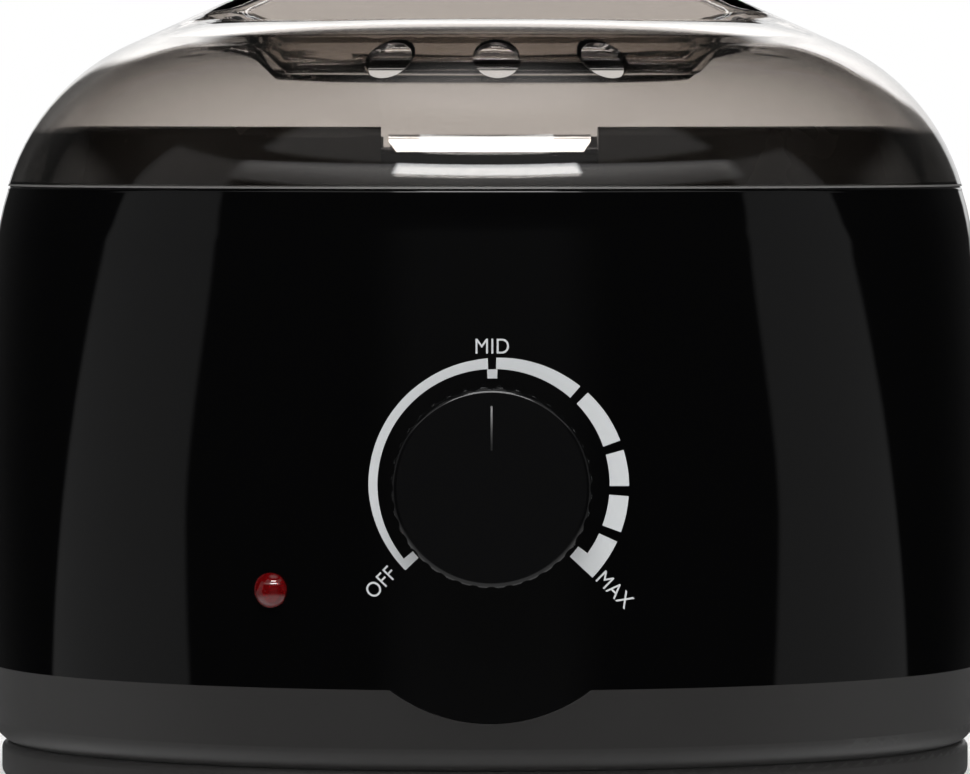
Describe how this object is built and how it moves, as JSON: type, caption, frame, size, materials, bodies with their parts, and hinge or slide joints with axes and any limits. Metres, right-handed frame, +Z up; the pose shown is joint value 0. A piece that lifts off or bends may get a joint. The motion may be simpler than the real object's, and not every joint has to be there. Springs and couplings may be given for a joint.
{
  "type": "wax warmer",
  "caption": "Tabletop electric wax warmer: gloss-black barrel housing with thermostat knob, lift-out aluminium pot on a heater cup, and smoked clear lid.",
  "frame": {"origin": "on the barrel's axis, at the surface that the feet stand on", "axes": "+Z up; the knob faces -Y; the cord gland faces +Y; +X is to the right as seen from the front"},
  "size_m": [0.18, 0.1985, 0.1497],
  "materials": {
    "gloss_housing": "gloss black moulding",
    "satin_base": "satin black moulding with a fine grain",
    "collar_black": "black moulding",
    "smoked_clear": "smoked see-through moulding",
    "aluminium_sheet": "drawn and brushed sheet",
    "bright_steel": "zinc-plated steel",
    "brass_plain": "turned brass",
    "rubber_black": "black rubber",
    "heater_ceramic": "ceramic-filled heater disc",
    "insulation_wool": "pressed glass wool",
    "switch_plastic": "heat-proof moulding",
    "terminal_nylon": "white nylon",
    "lens_red": "red see-through moulding",
    "lamp_glass": "clear glass",
    "knob_black": "black moulding",
    "lead_brown": "brown silicone insulation",
    "lead_blue": "blue silicone insulation",
    "lead_white": "white fibreglass sleeving",
    "sleeve_clear": "milky insulating sleeve",
    "lead_earth": "green and yellow insulation"
  },
  "bodies": {
    "housing": {"base_ring": "satin_base", "blue_leads": "lead_blue", "bottom_cover": "satin_base", "brown_leads": "lead_brown", "case_screws": "bright_steel", "clamp_screws": "bright_steel", "collar_screws": "bright_steel", "cord_clamp": "satin_base", "cord_gland": "rubber_black", "crimp_sleeves": "sleeve_clear", "cup_standoffs": "bright_steel", "earth_lead": "lead_earth", "earth_tag": "bright_steel", "fuse_clip": "bright_steel", "heater_clamp_plate": "bright_steel", "heater_cup": "aluminium_sheet", "heater_disc": "heater_ceramic", "heater_nut": "bright_steel", "insulation_sleeve": "insulation_wool", "lamp_leads": "lead_white", "lamp_lens": "lens_red", "lens_push_ring": "bright_steel", "neon_lamp": "lamp_glass", "pot_collar": "collar_black", "push_on_sleeves": "sleeve_clear", "rubber_feet": "rubber_black", "standoff_screws": "bright_steel", "terminal_block": "terminal_nylon", "terminal_screws": "brass_plain", "thermal_fuse": "bright_steel", "thermostat_body": "switch_plastic", "thermostat_bracket": "bright_steel", "thermostat_bush": "brass_plain", "thermostat_nut": "bright_steel", "thermostat_terminals": "brass_plain", "upper_shell": "gloss_housing"},
    "pot": {"wax_pot": "aluminium_sheet", "rear_lifting_tab": "aluminium_sheet", "front_lifting_tab": "aluminium_sheet", "tab_rivets": "aluminium_sheet"},
    "lid": {"lid": "smoked_clear"},
    "dial": {"knob": "knob_black", "dial_shaft": "bright_steel"}
  },
  "joints": [
    {"name": "pot_lift", "type": "slide", "parent": "housing", "child": "pot", "axis": [0, 0, 1], "range_m": [0, 0.09]},
    {"name": "lid_lift", "type": "slide", "parent": "pot", "child": "lid", "axis": [0, 0, 1], "range_m": [0, 0.06]},
    {"name": "dial_turn", "type": "hinge", "parent": "housing", "child": "dial", "pos_m": [0, -0.09, 0.059], "axis": [0, 1, 0], "range_deg": [-135, 135]}
  ]
}
